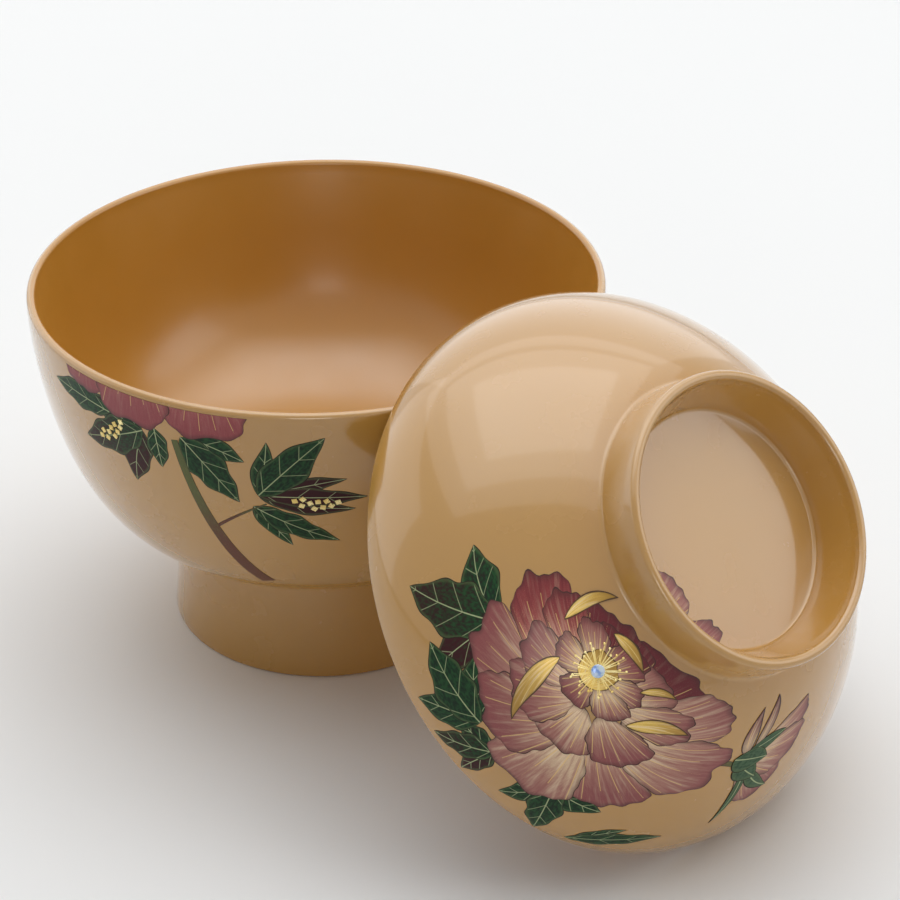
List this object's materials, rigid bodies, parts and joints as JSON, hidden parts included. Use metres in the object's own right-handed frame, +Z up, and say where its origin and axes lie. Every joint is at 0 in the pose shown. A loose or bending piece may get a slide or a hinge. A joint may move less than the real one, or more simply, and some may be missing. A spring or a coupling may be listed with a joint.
{
  "type": "lidded soup bowl",
  "caption": "Turned soup bowl on a tall foot, with its domed, ringed lid leaning on the rim. Gloss lacquer over wood, with laid gold chips and a shell dot.",
  "frame": {"origin": "middle of the pair's footprint on the table, so the bowl's axis is at x = -38.1 mm", "axes": "+Z up, +X from the bowl towards the leaning lid, Y across; the turned forms mirror across y = 0"},
  "size_m": [0.2012, 0.125, 0.0966],
  "materials": {
    "wood": "bare turned wood",
    "outer_lacquer": "polished ochre-beige lacquer, high gloss",
    "inner_lacquer": "ochre-beige lacquer, satin gloss",
    "gold": "gold leaf, soft shine",
    "shell": "polished shell with a blue-white lustre"
  },
  "bodies": {
    "bowl": {"bowl_core": "wood", "bowl_outer_coat": "outer_lacquer", "bowl_inner_coat": "inner_lacquer", "bowl_foot_coat": "outer_lacquer", "bowl_gold_chips": "gold"},
    "lid": {"lid_core": "wood", "lid_outer_coat": "outer_lacquer", "lid_inner_coat": "inner_lacquer", "lid_shell_dot": "shell"}
  },
  "joints": [
    {"name": "lid_lift", "type": "slide", "parent": "bowl", "child": "lid", "axis": [0, 0, 1], "range_m": [0, 0.12]}
  ]
}
